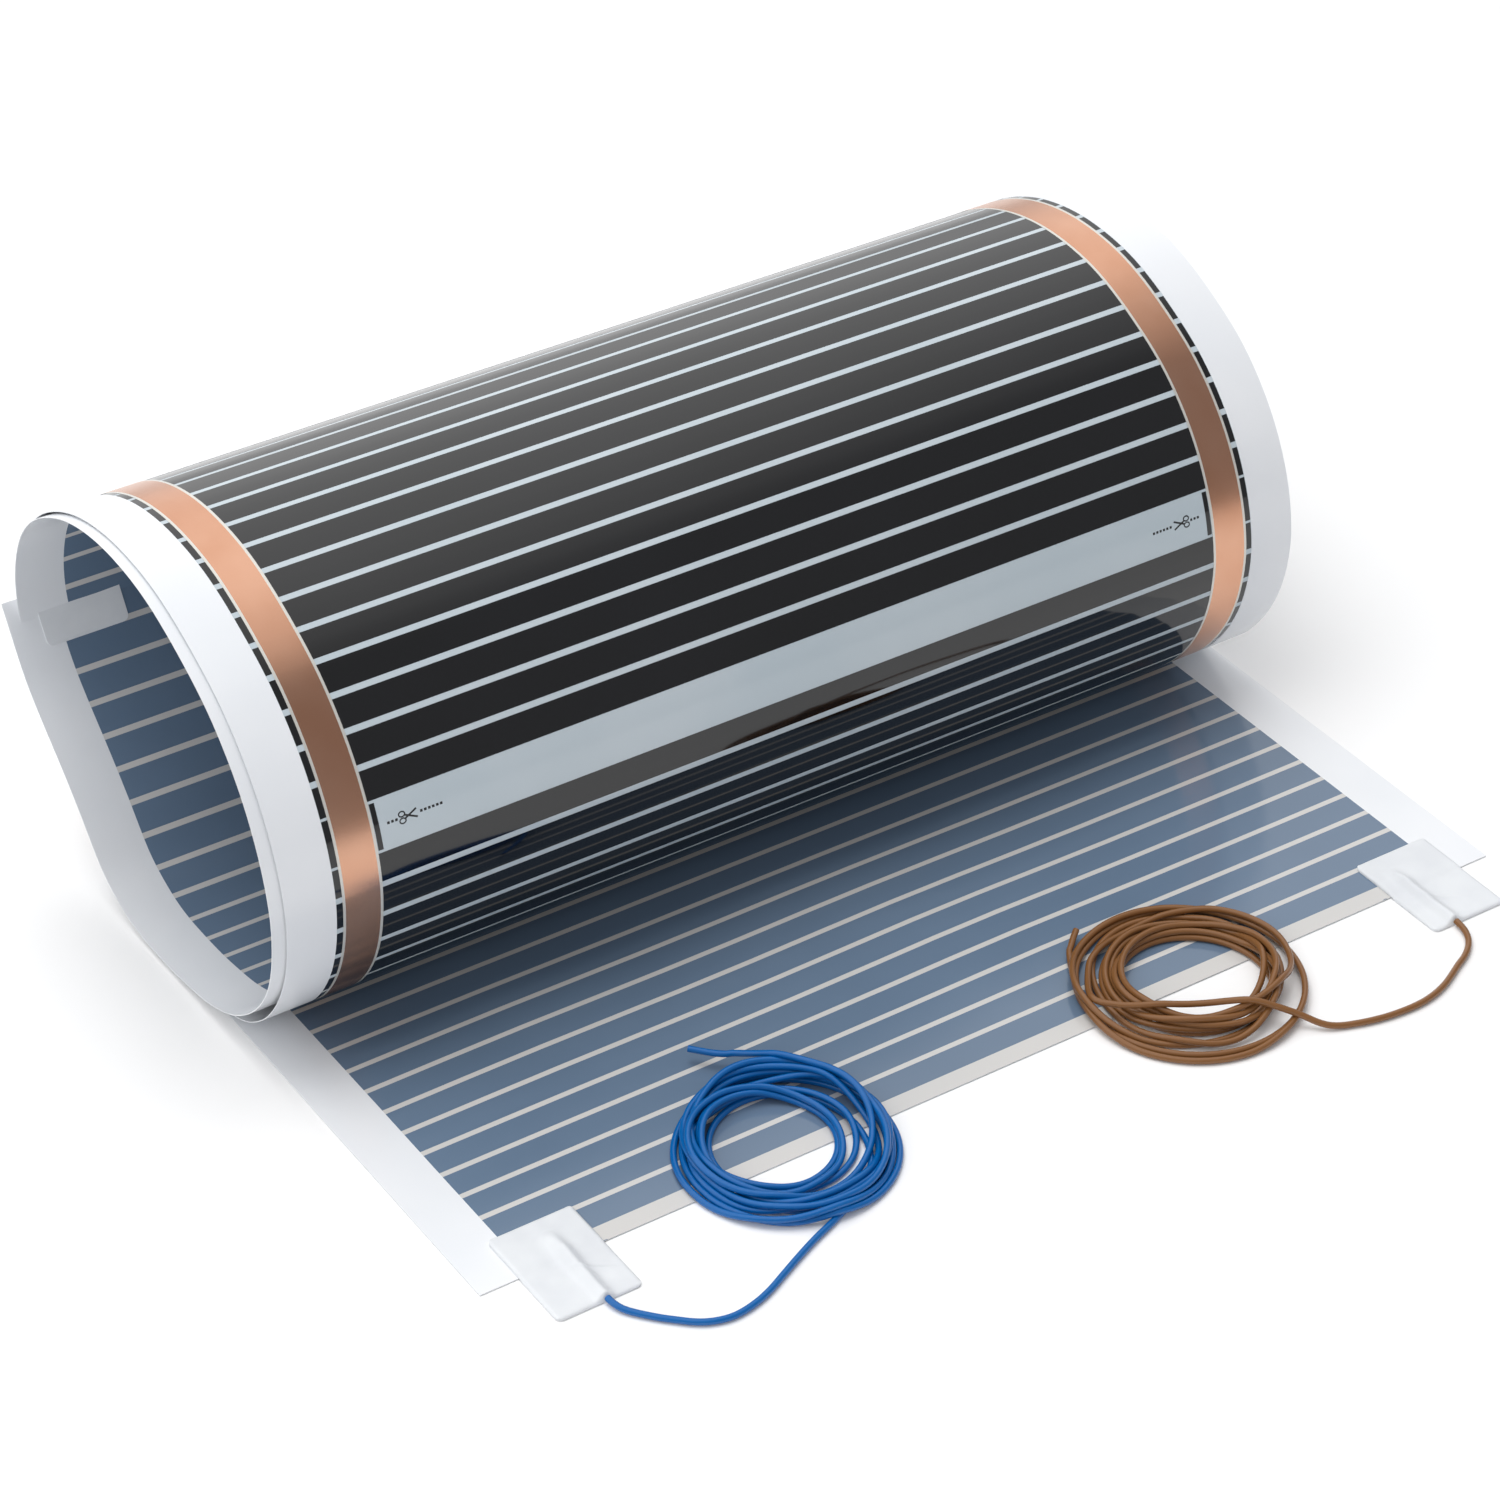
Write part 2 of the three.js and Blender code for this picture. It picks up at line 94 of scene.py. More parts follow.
# %% The line the film follows
OUTLINE = [
    (250, 0), (278, 0.4), (304, 7.5), (327, 26), (348, 52), (363, 80), (369.5, 106),
    (367, 128), (358, 149), (344, 165.5), (325, 178.5), (303, 188), (279, 193),
    (256, 193.3), (233, 189.5), (207, 179), (181, 163), (160, 140.5), (146.5, 115),
    (140.5, 91), (140.5, 75), (143, 60.5), (148, 46.5), (156, 32.5), (167, 19.5),
    (182, 8.5), (201, 2), (224, 0.1)]
TURN_STEP, TURNS = 1.3, 2
BACK_SLACK, BACK_SPAN, FRONT_SLACK, FRONT_SPAN = 8.0, 0.3, 4.0, 0.2
LEAN, LEAN_END, LEAN_SPAN = 14.0, 1.6, 0.27
TAIL_FLAT = 24.0
SAMPLES = 720


def hump(t):
    return np.sin(np.pi * np.clip(t, 0, 1)) ** 2


def closed_curve(corners, per_corner=60):
    """A smooth closed curve through the corners, with centripetal spacing."""
    p = np.array(corners, float)
    out = []
    for i in range(len(p)):
        a, b, c, d = (p[(i + k) % len(p)] for k in (-1, 0, 1, 2))
        da, db, dc = (math.sqrt(np.linalg.norm(v)) for v in (b - a, c - b, d - c))
        t1 = ((b - a) / da - (c - a) / (da + db) + (c - b) / db) * db
        t2 = ((c - b) / db - (d - b) / (db + dc) + (d - c) / dc) * db
        for t in np.linspace(0, 1, per_corner, endpoint=False):
            out.append(b + t1 * t + (-3 * b + 3 * c - 2 * t1 - t2) * t * t
                       + (2 * b - 2 * c + t1 + t2) * t ** 3)
    return np.array(out)


def film_line():
    curve = closed_curve(OUTLINE)
    loop = np.vstack([curve, curve[:1]])
    run = np.concatenate([[0], np.cumsum(np.linalg.norm(np.diff(loop, axis=0), axis=1))])
    at = np.linspace(0, run[-1], SAMPLES, endpoint=False)
    ring = np.stack([np.interp(at, run, loop[:, k]) for k in (0, 1)], -1)
    along = np.roll(ring, -1, 0) - np.roll(ring, 1, 0)
    along /= np.linalg.norm(along, axis=1)[:, None]
    inward = np.stack([-along[:, 1], along[:, 0]], -1)
    k = np.arange(int(round(SAMPLES * (TURNS + LEAN_SPAN + 0.08))) + 1)
    turns = k / SAMPLES
    tail = (turns - TURNS) / LEAN_SPAN
    part = turns - (TURNS - 1)
    inset = FACE + TURN_STEP * turns
    last = (turns > TURNS - 1) & (tail <= 0)
    inset += last * (BACK_SLACK * hump(part / BACK_SPAN)
                     + FRONT_SLACK * hump((part - 1 + FRONT_SPAN) / FRONT_SPAN))
    ease = np.clip(tail, 0, 1) ** 2 * (3 - 2 * np.clip(tail, 0, 1))
    inset += (tail > 0) * (LEAN * hump(tail) + LEAN_END * ease)
    points = ring[k % SAMPLES] + inward[k % SAMPLES] * inset[:, None]
    points[:, 1] = np.maximum(points[:, 1], FACE)
    flat = np.stack([np.arange(0, OUTLINE[0][0], 2.0), np.full(125, FACE)], -1)
    return np.vstack([flat, points])


line = film_line()
run = np.concatenate([[0], np.cumsum(np.linalg.norm(np.diff(line, axis=0), axis=1))])
slope = np.gradient(line, axis=0)
slope /= np.linalg.norm(slope, axis=1)[:, None]
print("film length, mm:", round(LENGTH, 1), "of a path of", round(float(run[-1]), 1))


def wave(x, y):
    """How far the flat sheet lifts off the floor, from having been rolled up."""
    swell = 1.5 * np.exp(-((x - 300 + 0.55 * (y - 60)) / 62) ** 2) * hump((y + 15) / 205)
    side = 0.8 * np.exp(-((x - 90) / 55) ** 2) * hump((y - 60) / 130)
    return swell + side


def place(x, s, h):
    """Points in millimetres: x across the film, s along it, h towards its inner face."""
    x, s, h = np.broadcast_arrays(np.asarray(x, float), s, h)
    bent = np.minimum(s, LENGTH - TAIL_FLAT)
    ty, tz = (np.interp(bent, run, slope[:, k]) for k in (0, 1))
    y, z = (np.interp(bent, run, line[:, k]) + (s - bent) * way
            for k, way in ((0, ty), (1, tz)))
    drift = DRIFT_END * np.maximum(0, (s - 3 * INTERVAL) / (LENGTH - 3 * INTERVAL))
    z = z + np.where(s < 200, wave(x, s), 0)
    return np.stack([x + drift, y - tz * h, z + ty * h], -1)


def ground(x, y):
    """The height of what a wire lies on: the sheet, or the floor in front of it."""
    on_film = (y > 0) & (x > 0) & (x < WIDTH)
    return np.where(on_film, THICK + wave(x, y), 0.0)


# %% [markdown]
# ## Lead wires
# Each lead is one wire 2.8 mm thick: it leaves its pad, wanders over the floor and then
# goes round and round in a loose coil, and its cut end sticks out. Its plan is drawn first,
# turn by turn. Then the wire is let down: each turn rests on the turns laid before it, and
# it is springy, so it bridges the gaps between them.

# %% Wire helpers
WIRE = 2.8
SPACING = 2.0
PER_TURN = 24
SKIPPED_NEIGHBOURS = 6
STIFFNESS, SINK, SETTLING_STEPS, LAST_EASING = 12, 0.05, 300, 1.5
BLUE_EXIT_X, BROWN_EXIT_X, EXIT_Y, EXIT_HEIGHT = 38.5, 457.6, -29.4, 2.1


def smooth_points(points, step):
    """Even points along a smooth open curve through the given ones."""
    p = np.array(points, float)
    p = np.vstack([2 * p[0] - p[1], p, 2 * p[-1] - p[-2]])
    fine = []
    for a, b, c, d in zip(p, p[1:], p[2:], p[3:]):
        for t in np.linspace(0, 1, 12, endpoint=False):
            fine.append(0.5 * (2 * b + (c - a) * t + (2 * a - 5 * b + 4 * c - d) * t * t
                               + (3 * b - a - 3 * c + d) * t ** 3))
    fine = np.array(fine + [p[-2]])
    far = np.concatenate([[0], np.cumsum(np.linalg.norm(np.diff(fine, axis=0), axis=1))])
    at = np.linspace(0, far[-1], int(round(far[-1] / step)) + 1)
    return np.stack([np.interp(at, far, fine[:, k]) for k in range(p.shape[1])], -1)


def coil_plan(centre, start, turns, radii, seed):
    """Loose turns seen from above: each has its own radius, centre and squeeze."""
    rng = np.random.default_rng(seed)
    knots = np.arange(len(radii))
    shift = rng.uniform(-4.0, 4.0, (len(radii), 2))
    squeeze = rng.uniform(-0.08, 0.08, len(radii))
    plan = []
    for t in np.arange(0, turns, 1 / PER_TURN):
        ease = int(t) + (1 - math.cos(math.pi * (t % 1))) / 2
        r, dx, dy, e = (np.interp(ease, knots, v)
                        for v in (radii, shift[:, 0], shift[:, 1], squeeze))
        angle = start + 2 * math.pi * t
        plan.append((centre[0] + dx + r * (1 - e) * math.cos(angle),
                     centre[1] + dy + r * (1 + e) * math.sin(angle)))
    return plan


def let_down(plan, order, low):
    """Heights of a springy wire laid along a plan: it rests on the ground and on what has
    a lower order than itself. `low` lifts single points, such as a free end."""
    n = len(plan)
    i, j = np.triu_indices(n, SKIPPED_NEIGHBOURS)
    d2 = ((plan[i] - plan[j]) ** 2).sum(1)
    near = d2 < WIRE ** 2
    i, j, rise = i[near], j[near], np.sqrt(WIRE ** 2 - d2[near])
    over = np.where(order[i] > order[j], i, j)
    under = i + j - over
    floor = np.maximum(ground(plan[:, 0], plan[:, 1]) + WIRE / 2, low)
    bend = np.zeros((n, n))
    rows_at = np.arange(1, n - 1)
    for k, weight in ((-1, 1.0), (0, -2.0), (1, 1.0)):
        bend[rows_at, rows_at + k] = weight
    springy = np.linalg.inv(np.eye(n) + STIFFNESS * bend.T @ bend)
    z = floor.copy()
    for _ in range(SETTLING_STEPS):
        z = springy @ (z - SINK)
        bound = floor.copy()
        np.maximum.at(bound, over, z[under] + rise)
        z = np.maximum(z, bound)
    soft = np.linalg.inv(np.eye(n) + LAST_EASING * bend.T @ bend)
    return np.maximum(soft @ z, ground(plan[:, 0], plan[:, 1]) + WIRE / 2)


# %% Blue lead: pad, floor, coil from the outside in, and the cut end at the back
BLUE_ROUTE = [
    (BLUE_EXIT_X, EXIT_Y), (38.9, -33), (40.6, -37.5), (44.7, -43), (49.8, -48.9),
    (55, -54), (59.2, -57.8), (64, -60.8), (70, -62.8), (76, -63.2), (84, -61.8),
    (92.4, -58.9), (102.5, -54), (112.8, -49), (123.5, -44.2), (133.8, -40.2)]
BLUE_TAIL = [(155.5, 56.8), (151.5, 60.5), (147, 65), (143.5, 69), (140.4, 72.6)]
blue_radii = [40, 43, 44, 34, 28, 41, 25, 36, 43, 28, 37, 46]
plan = smooth_points(
    BLUE_ROUTE + coil_plan((140, 7), math.radians(-68), 10.3, blue_radii, 4) + BLUE_TAIL,
    SPACING)
order = np.arange(len(plan), dtype=float)
lift = np.where(order > len(plan) - 6, 7.0, 0.0)
lift[:3] = EXIT_HEIGHT
blue_points = np.column_stack([plan, let_down(plan, order, lift)])

# %% Brown lead: worked out from its cut end, over the coil, to its pad
BROWN_ROUTE = [
    (BROWN_EXIT_X, EXIT_Y), (457.3, -33), (456.4, -37), (454, -41.5), (450, -45.6),
    (445, -49), (439.3, -51.8), (433, -55.2), (426.1, -58.6), (418, -61.2), (409.8, -62.4),
    (400, -62.2), (389.8, -60.8), (379, -57.8), (368.7, -53.2), (360.8, -45.2)]
OVER_COIL = [(295, 9), (299.5, -1), (308, -8.5), (318.5, -15.5), (330, -23),
             (341, -30.5), (351.5, -38)]
BROWN_TAIL = [(318, 49.8), (314.5, 47), (311, 43.8), (307.5, 40.2)]
brown_radii = [45, 50, 44, 29, 38, 32, 43, 27, 36, 30, 46]
plan = smooth_points(
    BROWN_TAIL + coil_plan((340, 1), math.radians(152), 9.98, brown_radii, 11)
    + OVER_COIL + BROWN_ROUTE[::-1], SPACING)
order = np.arange(len(plan), dtype=float)
lift = np.where(order < 5, 5.0, 0.0)
lift[-3:] = EXIT_HEIGHT
brown_points = np.column_stack([plan, let_down(plan, order, lift)])[::-1]

# %% [markdown]
# ## Materials
# Colours are sRGB from the real things: copper strip, carbon paste under clear polyester,
# polyester filled with white, soft PVC wire. One helper turns hex into linear colour, and
# one adds a node.

# %% Material helpers
def linear(hexcode):
    parts = [int(hexcode[i:i + 2], 16) / 255 for i in (0, 2, 4)]
    return [c / 12.92 if c <= 0.04045 else ((c + 0.055) / 1.055) ** 2.4 for c in parts] + [1]


def add(tree, kind, links=(), **values):
    node = tree.nodes.new(kind)
    for key, value in values.items():
        if hasattr(node, key):
            setattr(node, key, value)
        else:
            node.inputs[key.replace("_", " ")].default_value = value
    for out, name in links:
        tree.links.new(out, node.inputs[name])
    return node


def material(name, colour, rough, **sockets):
    made = bpy.data.materials.new(name)
    made.use_nodes = True
    shader = made.node_tree.nodes["Principled BSDF"]
    shader.inputs["Base Color"].default_value = linear(colour)
    shader.inputs["Roughness"].default_value = rough
    for key, value in sockets.items():
        shader.inputs[key.replace("_", " ")].default_value = value
    return made, made.node_tree, shader


def vary(tree, shader, colour_a, colour_b, scale):
    """Base colour drifts between two tones on the piece's own coordinates."""
    where = add(tree, "ShaderNodeTexCoord").outputs["Object"]
    noise = add(tree, "ShaderNodeTexNoise", [(where, "Vector")], Scale=scale, Detail=3.0)
    ramp = add(tree, "ShaderNodeValToRGB", [(noise.outputs["Fac"], "Fac")])
    ramp.color_ramp.elements[0].position, ramp.color_ramp.elements[1].position = 0.35, 0.65
    ramp.color_ramp.elements[0].color = linear(colour_a)
    ramp.color_ramp.elements[1].color = linear(colour_b)
    tree.links.new(ramp.outputs["Color"], shader.inputs["Base Color"])


# %% Materials of the film
milky, t, s = material("milky polyester", "e9ecef", 0.2)
vary(t, s, "e6e9ed", "eceef1", 12)
gap_outside, t, s = material("milky ply under clear ply", "bcc9d1", 0.08)
vary(t, s, "bac6cd", "c2ccd2", 12)
gap_inside, t, s = material("milky ply between stripes", "d3d2d0", 0.2)
vary(t, s, "cbcac8", "cfcdca", 12)
stripe_inside, t, s = material("carbon seen through the milky ply", "667a91", 0.13)
vary(t, s, "63778e", "697d94", 8)
carbon, t, s = material("carbon paste under clear polyester", "0c0d0f", 0.06)
vary(t, s, "0b0c0e", "0f1013", 12)
s.inputs["IOR"].default_value = 1.6
copper, t, s = material("rolled copper strip", "d3a084", 0.24, Metallic=1.0)
vary(t, s, "cf9a7d", "d8a78c", 22)
silver = material("silver paste", "d8d6cf", 0.3, Metallic=0.4)[0]
ink = material("printed mark", "15171a", 0.1)[0]
ink_inside = material("mark seen through the milky ply", "5b6f86", 0.2)[0]

# %% Materials of pads, clips and wires
pad_white, t, s = material("soft insulating patch", "dfe2e6", 0.45)
vary(t, s, "dcdfe3", "e2e5e8", 60)
metal = material("tinned clip", "b9bdc2", 0.3, Metallic=1.0)[0]
blue = material("blue PVC", "0060a8", 0.22)[0]
brown = material("brown PVC", "825832", 0.22)[0]
core = material("copper core", "c98f5f", 0.3, Metallic=1.0)[0]


# %% [markdown]
# ## Mesh helpers

# %% Mesh helpers
def make(name, verts, faces, mats, index=None, sharp=35, replaces=()):
    mesh = bpy.data.meshes.new(name)
    mesh.from_pydata(((np.asarray(verts) + ORIGIN) / 1000).tolist(), [], faces)
    for m in mats:
        mesh.materials.append(m)
    if index is not None:
        mesh.polygons.foreach_set("material_index", index)
    mesh.polygons.foreach_set("use_smooth", [True] * len(mesh.polygons))
    mesh.set_sharp_from_angle(angle=math.radians(sharp))
    mesh.validate()
    piece = bpy.data.objects.new(name, mesh)
    bpy.context.scene.collection.objects.link(piece)
    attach(piece, "root")
    if replaces:
        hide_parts(*replaces)
    return piece


def loft(rings):
    """Faces over rings of points, each ring closed, with a cap at both ends."""
    count, n = len(rings), len(rings[0])
    faces = []
    for k in range(count - 1):
        for i in range(n):
            j = (i + 1) % n
            faces.append((k * n + i, (k + 1) * n + i, (k + 1) * n + j, k * n + j))
    faces.append(tuple(range(n)))
    faces.append(tuple(reversed(range((count - 1) * n, count * n))))
    return np.vstack(rings), faces


def rows(s0, s1, step):
    return list(np.linspace(s0, s1, max(1, int(math.ceil((s1 - s0) / step))) + 1))


# %% Stations along the film
stripes = []
for k in range(INTERVALS):
    for j in range(PER_INTERVAL + (EXTRA if k == INTERVALS - 1 else 0)):
        stripes.append(k * INTERVAL + BAND / 2 + j * PITCH - TRIM)
stations, kinds = [0.0], []
for start in stripes:
    for s1, step, kind in ((start, 4.0, "gap"), (start + STRIPE, 4.2, "stripe")):
        new = rows(stations[-1], s1, step)[1:]
        stations += new
        kinds += [kind] * len(new)
new = rows(stations[-1], LENGTH, 4.0)[1:]
stations += new
kinds += ["gap"] * len(new)
print("stations:", len(stations))

# %% [markdown]
# ## The film
# The laminate is one thin closed solid with a shallow recess in its outer face for the
# print, and the print's look through the milky ply is on its inner face.

# %% Film laminate
inner_edge = MARGIN - 0.15
outer_side = [(0, -FACE), (11, -FACE), (inner_edge, -FACE), (inner_edge, RECESS)]
outer_side += [(x, RECESS) for x in np.linspace(60, WIDTH - 60, 12)]
outer_side += [(WIDTH - x, h) for x, h in outer_side[:4][::-1]]
inner_side = [(0, FACE), (11, FACE), (MARGIN, FACE)]
inner_side += [(x, FACE) for x in np.linspace(60, WIDTH - 60, 12)]
inner_side += [(WIDTH - x, h) for x, h in inner_side[:3][::-1]]
section = outer_side + inner_side[::-1]
rings = [place([x for x, _ in section], s, [h for _, h in section]) for s in stations]
verts, faces = loft(rings)
slots = []
for kind in kinds:
    for i in range(len(section)):
        (x0, h0), (x1, h1) = section[i], section[(i + 1) % len(section)]
        middle = (x0 + x1) / 2
        if h0 == h1 == FACE and MARGIN < middle < WIDTH - MARGIN:
            slots.append(3 if kind == "stripe" else 2)
        elif h0 == h1 == RECESS:
            slots.append(1)
        else:
            slots.append(0)
slots += [0, 0]
make("film_laminate", verts, faces, [milky, gap_outside, gap_inside, stripe_inside],
     slots, replaces=["film"])
print("film faces:", len(faces))


# %% Carbon stripes and carbon at the cuts, copper strips and silver lines
def ribbon_box(x0, x1, s_list, h0, h1, columns=1):
    """A thin closed block on the film between two widths, lengths and heights."""
    xs = np.linspace(x0, x1, columns + 1)
    loop = [(x, h0) for x in xs] + [(x, h1) for x in xs[::-1]]
    return loft([place([x for x, _ in loop], s, [h for _, h in loop]) for s in s_list])


def joined(blocks):
    verts, faces, base = [], [], 0
    for v, f in blocks:
        verts.append(v)
        faces += [tuple(i + base for i in face) for face in f]
        base += len(v)
    return np.vstack(verts), faces


blocks = [ribbon_box(MARGIN, WIDTH - MARGIN, rows(s0, s0 + STRIPE, 4.2), -0.09, -0.04, 14)
          for s0 in stripes]
cuts = [k * INTERVAL - TRIM for k in range(INTERVALS)]
inner_line = BAR_START + BAR_WIDTH + LINE_WIDTH
for cut in cuts:
    low, high = max(cut - BAND / 2 + 1.2, 0.0), cut + BAND / 2 - 1.2
    for x0, x1 in ((MARGIN, BAR_START - LINE_WIDTH), (inner_line + 0.3, inner_line + 2.6)):
        for a, b in ((x0, x1), (WIDTH - x1, WIDTH - x0)):
            blocks.append(ribbon_box(a, b, rows(low, high, 4.2), -0.09, -0.04))
verts, faces = joined(blocks)
make("carbon_stripes", verts, faces, [carbon], replaces=["carbon_layer"])

every = sorted(set(stations))
for side, flip in (("left", False), ("right", True)):
    for name, spans, mat, node in (
            ("copper_strip_", [(BAR_START, BAR_START + BAR_WIDTH)], copper, "busbar_"),
            ("silver_lines_", [(BAR_START - LINE_WIDTH, BAR_START),
                               (BAR_START + BAR_WIDTH, inner_line)], silver, None)):
        blocks = []
        for a, b in spans:
            if flip:
                a, b = WIDTH - b, WIDTH - a
            blocks.append(ribbon_box(a, b, every, -0.15, -0.1, 4 if node else 1))
        verts, faces = joined(blocks)
        make(name + side, verts, faces, [mat],
             replaces=[node + side] if node else ())


# %% [markdown]
# ## Cut marks
# A dotted line with a pair of scissors on it shows where the film may be cut. Each mark is
# a flat print: small strokes laid on the film.

# %% Cut marks
def stroke(points, width):
    """A flat stroke as quads (x, s), as wide as given."""
    quads = []
    for (x0, s0), (x1, s1) in zip(points, points[1:]):
        d = np.array([x1 - x0, s1 - s0])
        d = d / np.linalg.norm(d)
        n = np.array([-d[1], d[0]]) * width / 2
        a, b = np.array([x0, s0]), np.array([x1, s1])
        quads.append([a - n, b - n, b + n, a + n])
    return quads


def scissors(x, s, way):
    """Two crossing blades and two finger rings, about 8 mm long."""
    quads = []
    for up in (-1, 1):
        quads += stroke([(x - way * 1.3, s - up * 0.7), (x + way * 4.0, s + up * 1.8)], 0.8)
        ring = [(x - way * (2.6 + 1.4 * math.cos(a)), s - up * 1.4 + 1.1 * math.sin(a))
                for a in np.linspace(0, 2 * math.pi, 13)]
        quads += stroke(ring, 0.6)
    return quads


def mark(s, left):
    quads = []
    dots = [49.2, 51.0, 52.8, 64.0, 65.8, 67.6, 69.4, 71.2, 73.0]
    for x in dots:
        quads.append([np.array(c) for c in ((x, s - 0.55), (x + 1.15, s - 0.55),
                                            (x + 1.15, s + 0.55), (x, s + 0.55))])
    quads += scissors(58.6, s, 1)
    if not left:
        quads = [[np.array([WIDTH - q[0], q[1]]) for q in quad][::-1] for quad in quads]
    return quads


for name, mat, h, outside in (("cut_marks_outside", ink, RECESS - 0.012, True),
                              ("cut_marks_inside", ink_inside, FACE + 0.012, False)):
    verts, faces = [], []
    for cut in cuts:
        for quad in mark(cut, True) + mark(cut, False):
            quad = [(x, max(s, 0.05)) for x, s in quad]
            if max(s for _, s in quad) - min(s for _, s in quad) < 0.1:
                continue
            base = len(verts)
            for x, s in quad:
                verts.append(place(x, s, h))
            face = tuple(range(base, base + 4))
            faces.append(face[::-1] if outside else face)
    make(name, np.array(verts), faces, [mat])


# %% [markdown]
# ## Pads
# Soft white patches that seal the cut ends of the copper strips. The front ones also hold
# the clip and the wire, so they have a bump down the middle, puckers round it and a foot
# that hangs over the film's front edge.

# %% Rounded patch and front pads
def rounded_grid(width, height, corner, nx, ny):
    """Points of a rounded rectangle about 0, 0 on a grid of nx by ny cells."""
    u, v = np.meshgrid(np.linspace(-1, 1, nx + 1), np.linspace(-1, 1, ny + 1))
    p = np.stack([u * width / 2, v * height / 2], -1)
    q = np.stack([np.clip(p[..., 0], corner - width / 2, width / 2 - corner),
                  np.clip(p[..., 1], corner - height / 2, height / 2 - corner)], -1)
    d = p - q
    size = np.linalg.norm(d, axis=-1)
    square = np.abs(d).max(-1)
    return q + d * np.where(size > 1e-9, square / np.maximum(size, 1e-9), 1)[..., None]


def shell(top, bottom):
    """A closed piece between two grids of points."""
    ny, nx = top.shape[:2]
    verts = np.vstack([top.reshape(-1, 3), bottom.reshape(-1, 3)])
    base = nx * ny
    faces = []
    for j in range(ny - 1):
        for i in range(nx - 1):
            a, b, c, d = j * nx + i, j * nx + i + 1, (j + 1) * nx + i + 1, (j + 1) * nx + i
            faces.append((a, b, c, d))
            faces.append((base + d, base + c, base + b, base + a))
    rim = [i for i in range(nx)] + [(j + 1) * nx - 1 for j in range(1, ny)]
    rim += [(ny - 1) * nx + i for i in range(nx - 2, -1, -1)]
    rim += [j * nx for j in range(ny - 2, 0, -1)]
    for a, b in zip(rim, rim[1:] + rim[:1]):
        faces.append((a, base + a, base + b, b))
    return verts, faces


def lumps(x, y, seed, size):
    """Soft deterministic noise between about -1 and 1."""
    rng = np.random.default_rng(seed)
    total = np.zeros_like(x)
    for _ in range(9):
        kx, ky = rng.normal(0, 1 / size, 2)
        total += np.sin(kx * x + ky * y + rng.uniform(0, 6.28))
    return total / 4


PAD_WIDTH, PAD_BACK, PAD_FRONT, RIDGE_BACK = 38.0, 24.0, -29.0, 15.0
for side, pad_x, wire_x, seed, node in (
        ("left", 36.0, BLUE_EXIT_X, 3, "front_pad_left"),
        ("right", 466.0, BROWN_EXIT_X, 8, "front_pad_right")):
    grid = rounded_grid(PAD_WIDTH, PAD_BACK - PAD_FRONT, 3.0, 76, 106)
    gx, gy = grid[..., 0] + pad_x, grid[..., 1] + (PAD_BACK + PAD_FRONT) / 2
    rim = np.minimum(np.minimum(PAD_WIDTH / 2 - abs(gx - pad_x), PAD_BACK - gy),
                     gy - PAD_FRONT)
    soft = np.clip(rim / 1.3, 0, 1) ** 0.5
    over = 1 / (1 + np.exp(-gy / 0.8))
    foot = np.where(gy > -1.2, THICK + 0.05 + wave(gx, gy) * (gy > 0), 0.04)
    ridge = np.exp(-((gx - wire_x) / 3.0) ** 2) * np.clip((RIDGE_BACK - gy) / 12, 0, 1)
    pucker = 0.35 * lumps(gx, gy, seed, 5.5) * np.exp(-((gx - wire_x) / 13) ** 2)
    crease = 0.5 * np.exp(-((gy + 9 + 0.55 * (gx - wire_x)) / 1.1) ** 2) \
        * np.exp(-((gx - wire_x - 4) / 7) ** 2)
    thick = 0.75 + 0.12 * lumps(gx, gy, seed + 20, 9) + pucker + crease
    top = np.maximum(foot + 0.25, 0.5 + 0.5 * over + thick * soft + 2.9 * ridge * soft)
    verts, faces = shell(np.stack([gx, gy, top], -1), np.stack([gx, gy, foot], -1))
    make(f"front_patch_{side}", verts, faces, [pad_white], sharp=60,
         replaces=[node])

# %% End pads, folded over the free end
end_from = stripes[-2] + STRIPE
back_s = LENGTH + 0.5
for side, span in (("left", (14.0, 52.0)), ("right", (448.0, 486.0))):
    grid = rounded_grid(span[1] - span[0], 2 * (back_s - end_from), 3.0, 38, 56)
    gx = grid[..., 0] + sum(span) / 2
    along = grid[..., 1]
    reach = back_s - np.abs(along)
    fold = np.clip(along / 0.6, -1, 1)
    bulge = 0.45 + 0.08 * lumps(gx, along, 5 if side == "left" else 6, 7)
    edge = np.clip((reach - end_from) / 1.2, 0, 1) ** 0.5
    outer = place(gx, reach, fold * (FACE + 0.05 + (0.1 + bulge) * edge))
    inner = place(gx, np.minimum(reach, LENGTH + 0.05), fold * (FACE + 0.05))
    verts, faces = shell(inner, outer)
    make(f"end_patch_{side}", verts, faces, [pad_white], sharp=60,
         replaces=[f"end_pad_{side}"])

for node in ("clip_left", "clip_right"):
    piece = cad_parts[node]
    piece.data.materials.clear()
    piece.data.materials.append(metal)


# %% [markdown]
# ## Wires
# Each wire is a round tube swept along its settled line, with the copper core showing in
# its cut end.

# %% Sweep the wires
def sweep(points, radius, sides):
    t = np.gradient(points, axis=0)
    t /= np.linalg.norm(t, axis=1)[:, None]
    n = np.cross(t[0], [0, 0, 1.0])
    n /= np.linalg.norm(n)
    angles = np.arange(sides) * 2 * math.pi / sides
    rings = []
    for p, d in zip(points, t):
        n = n - d * np.dot(n, d)
        n /= np.linalg.norm(n)
        b = np.cross(d, n)
        rings.append([p + radius * (math.cos(a) * n + math.sin(a) * b) for a in angles])
    centre = points[-1]
    rings.append([centre + (np.array(q) - centre) * 0.5 for q in rings[-1]])
    return loft([np.array(r) for r in rings])


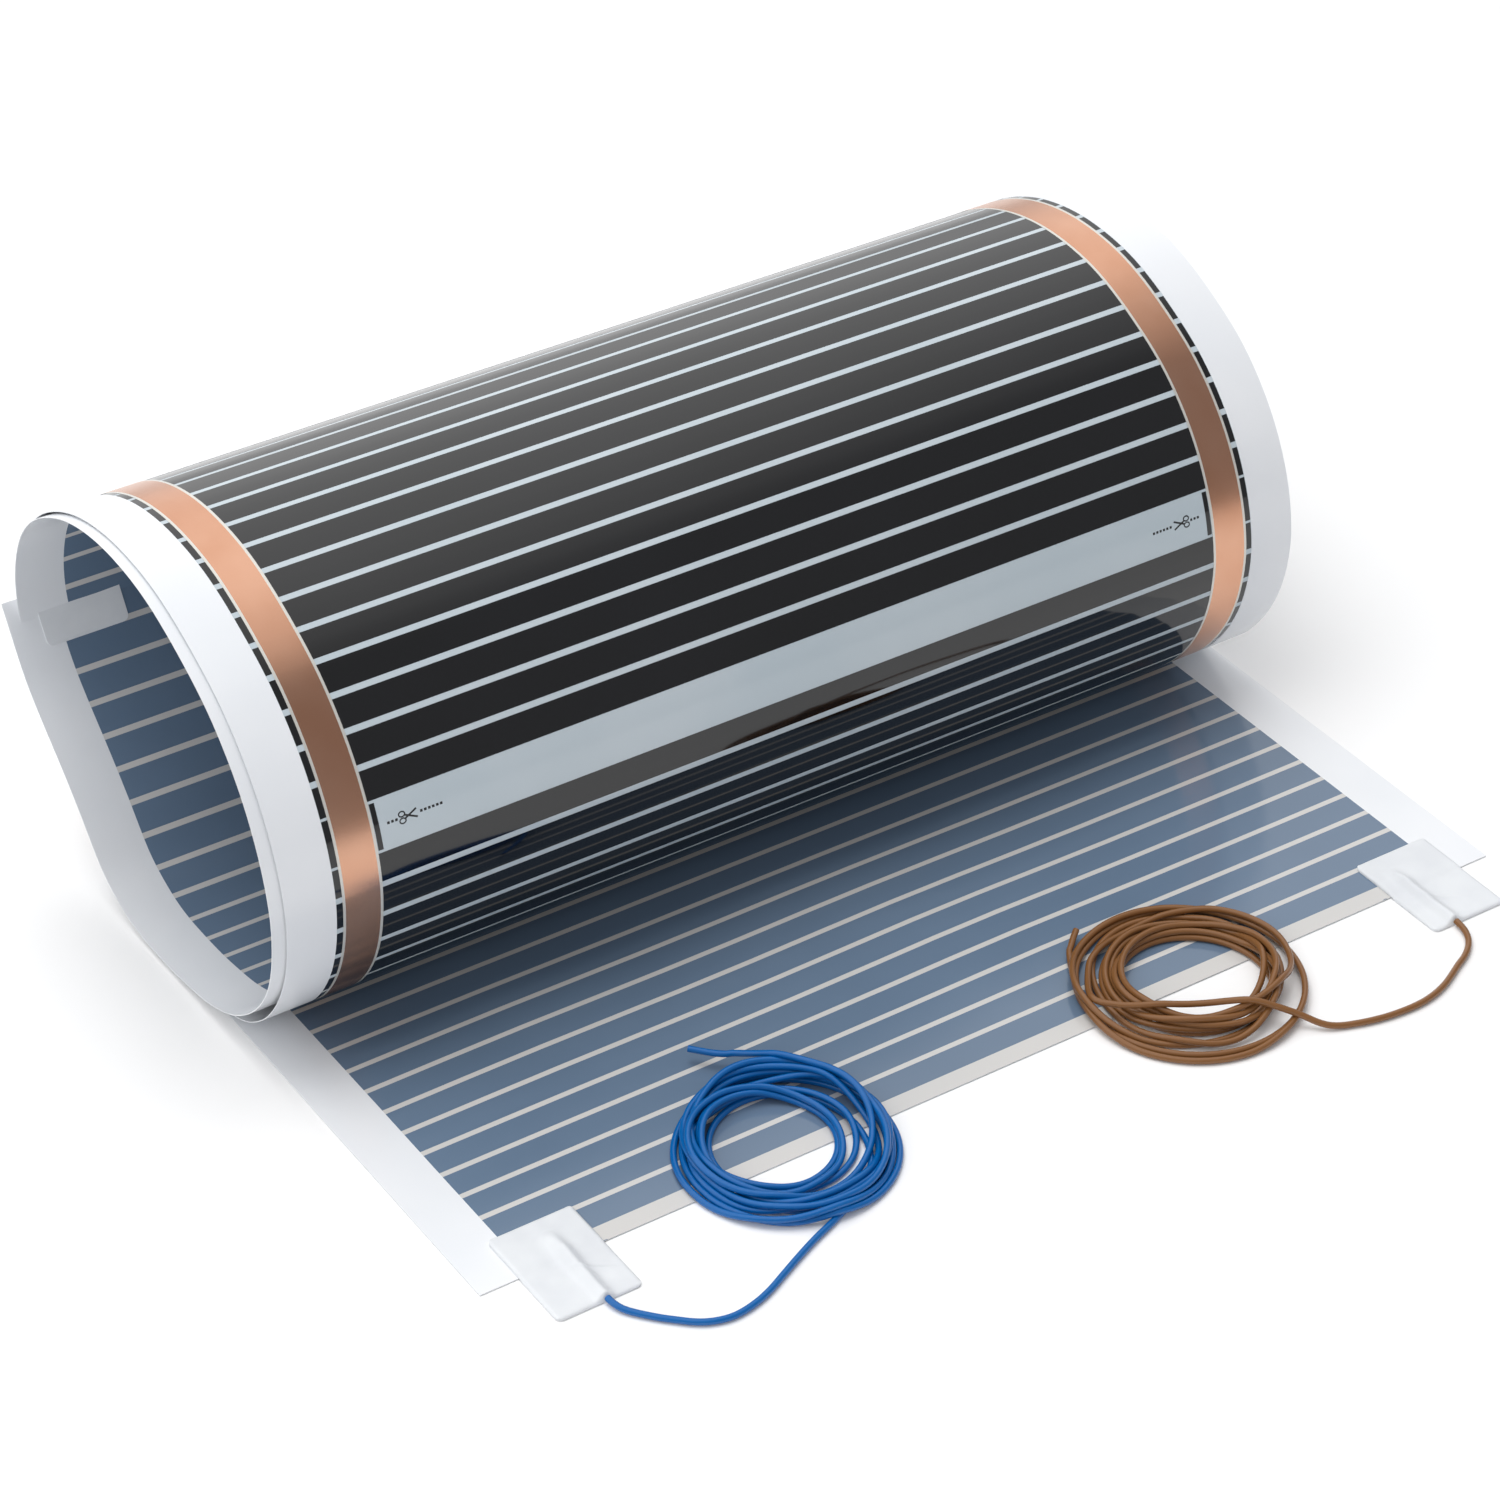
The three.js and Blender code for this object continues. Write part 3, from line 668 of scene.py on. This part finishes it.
for colour, points, mat, nodes in (
        ("blue", blue_points, blue, ["blue_lead", "blue_coil", "blue_tail"]),
        ("brown", brown_points, brown, ["brown_lead", "brown_coil", "brown_tail"])):
    verts, faces = sweep(points, WIRE / 2, 12)
    index = [0] * len(faces)
    index[-1] = 1
    wire = make(f"{colour}_wire", verts, faces, [mat, core], index, sharp=50,
                replaces=nodes)

# %% [markdown]
# ## Floor and light
# A plain pale floor in a soft white studio. The room is bright overhead and behind, and
# dimmer behind the camera, which is what the black stripes mirror. Two large soft lamps fill
# the shadows without being mirrored themselves.

# %% Floor and light
bpy.context.scene.view_settings.view_transform = "Standard"
FLOOR_HALF, FLOOR_Z = 6, -0.0003
floor_mat = material("pale floor", "fafafa", 0.8, Specular_IOR_Level=0.1)[0]
mesh = bpy.data.meshes.new("floor")
mesh.from_pydata([(x * FLOOR_HALF, y * FLOOR_HALF, FLOOR_Z)
                  for x, y in ((-1, -1), (1, -1), (1, 1), (-1, 1))], [], [(0, 1, 2, 3)])
mesh.materials.append(floor_mat)
floor = bpy.data.objects.new("floor", mesh)
bpy.context.scene.collection.objects.link(floor)


def soft_lamp(name, place_at, aim, size, power):
    lamp = bpy.data.lights.new(name, "AREA")
    lamp.shape, lamp.size, lamp.energy = "DISK", size, power
    light = bpy.data.objects.new(name, lamp)
    bpy.context.scene.collection.objects.link(light)
    light.location = place_at
    light.rotation_euler = (Vector(aim) - Vector(place_at)).to_track_quat("-Z", "Y").to_euler()
    light.visible_glossy = False


soft_lamp("overhead", (-0.2, 0.3, 2.2), (0, 0, 0.05), 1.6, 17)
soft_lamp("front", (-1.2, -1.6, 1.3), (0, 0, 0.08), 1.4, 9)

world = bpy.data.worlds.new("studio")
bpy.context.scene.world = world
world.use_nodes = True
tree = world.node_tree
way = add(tree, "ShaderNodeTexCoord").outputs["Generated"]
toward = add(tree, "ShaderNodeVectorMath", [(way, 0)], operation="DOT_PRODUCT")
toward.inputs[1].default_value = (-0.25, 0.66, 0.71)
ramp = add(tree, "ShaderNodeValToRGB", [(toward.outputs["Value"], "Fac")])
ramp.color_ramp.interpolation = "EASE"
ramp.color_ramp.elements[0].position, ramp.color_ramp.elements[1].position = 0.25, 0.70
ramp.color_ramp.elements[0].color = (0.25, 0.25, 0.26, 1)
ramp.color_ramp.elements[1].color = (1.0, 1.0, 1.0, 1)
background = tree.nodes["Background"]
tree.links.new(ramp.outputs["Color"], background.inputs["Color"])
background.inputs["Strength"].default_value = 1.25
